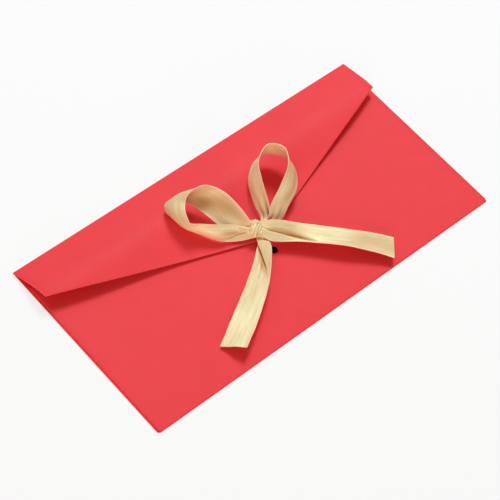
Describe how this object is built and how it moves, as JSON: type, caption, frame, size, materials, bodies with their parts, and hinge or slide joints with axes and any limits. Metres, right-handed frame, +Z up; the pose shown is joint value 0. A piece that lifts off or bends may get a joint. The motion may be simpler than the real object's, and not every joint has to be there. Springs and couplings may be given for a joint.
{
  "type": "envelope",
  "caption": "Long gift envelope of folded card: flat pocket with a gaping mouth, a pointed arched closing flap on the long side, and a satin ribbon bow tied at the tip of the flap",
  "frame": {"origin": "middle of the underside of the closed envelope", "axes": "+X along the long side, +Y from the bottom fold to the crease of the flap, +Z up from the table"},
  "size_m": [0.22, 0.1099, 0.025],
  "materials": {
    "card": "smooth dyed card, matt with a faint sheen",
    "card_inside": "smooth dyed card, matt",
    "glue": "dried film of glue",
    "satin": "champagne satin weave with bright selvedges"
  },
  "bodies": {
    "pocket": {"rear_panel": "card_inside", "front_panel": "card", "left_side_tab": "card_inside", "right_side_tab": "card_inside", "left_glue_strip": "glue", "right_glue_strip": "glue"},
    "flap": {"closure_flap": "card", "ribbon_tie_strand": "satin", "ribbon_knot": "satin", "ribbon_left_loop": "satin", "ribbon_upper_loop": "satin", "ribbon_right_tail": "satin", "ribbon_front_tail": "satin"}
  },
  "joints": [
    {"name": "flap_crease", "type": "hinge", "parent": "pocket", "child": "flap", "pos_m": [0, 0.05482, 0.00035], "axis": [-1, 0, 0], "range_deg": [0, 130]}
  ]
}
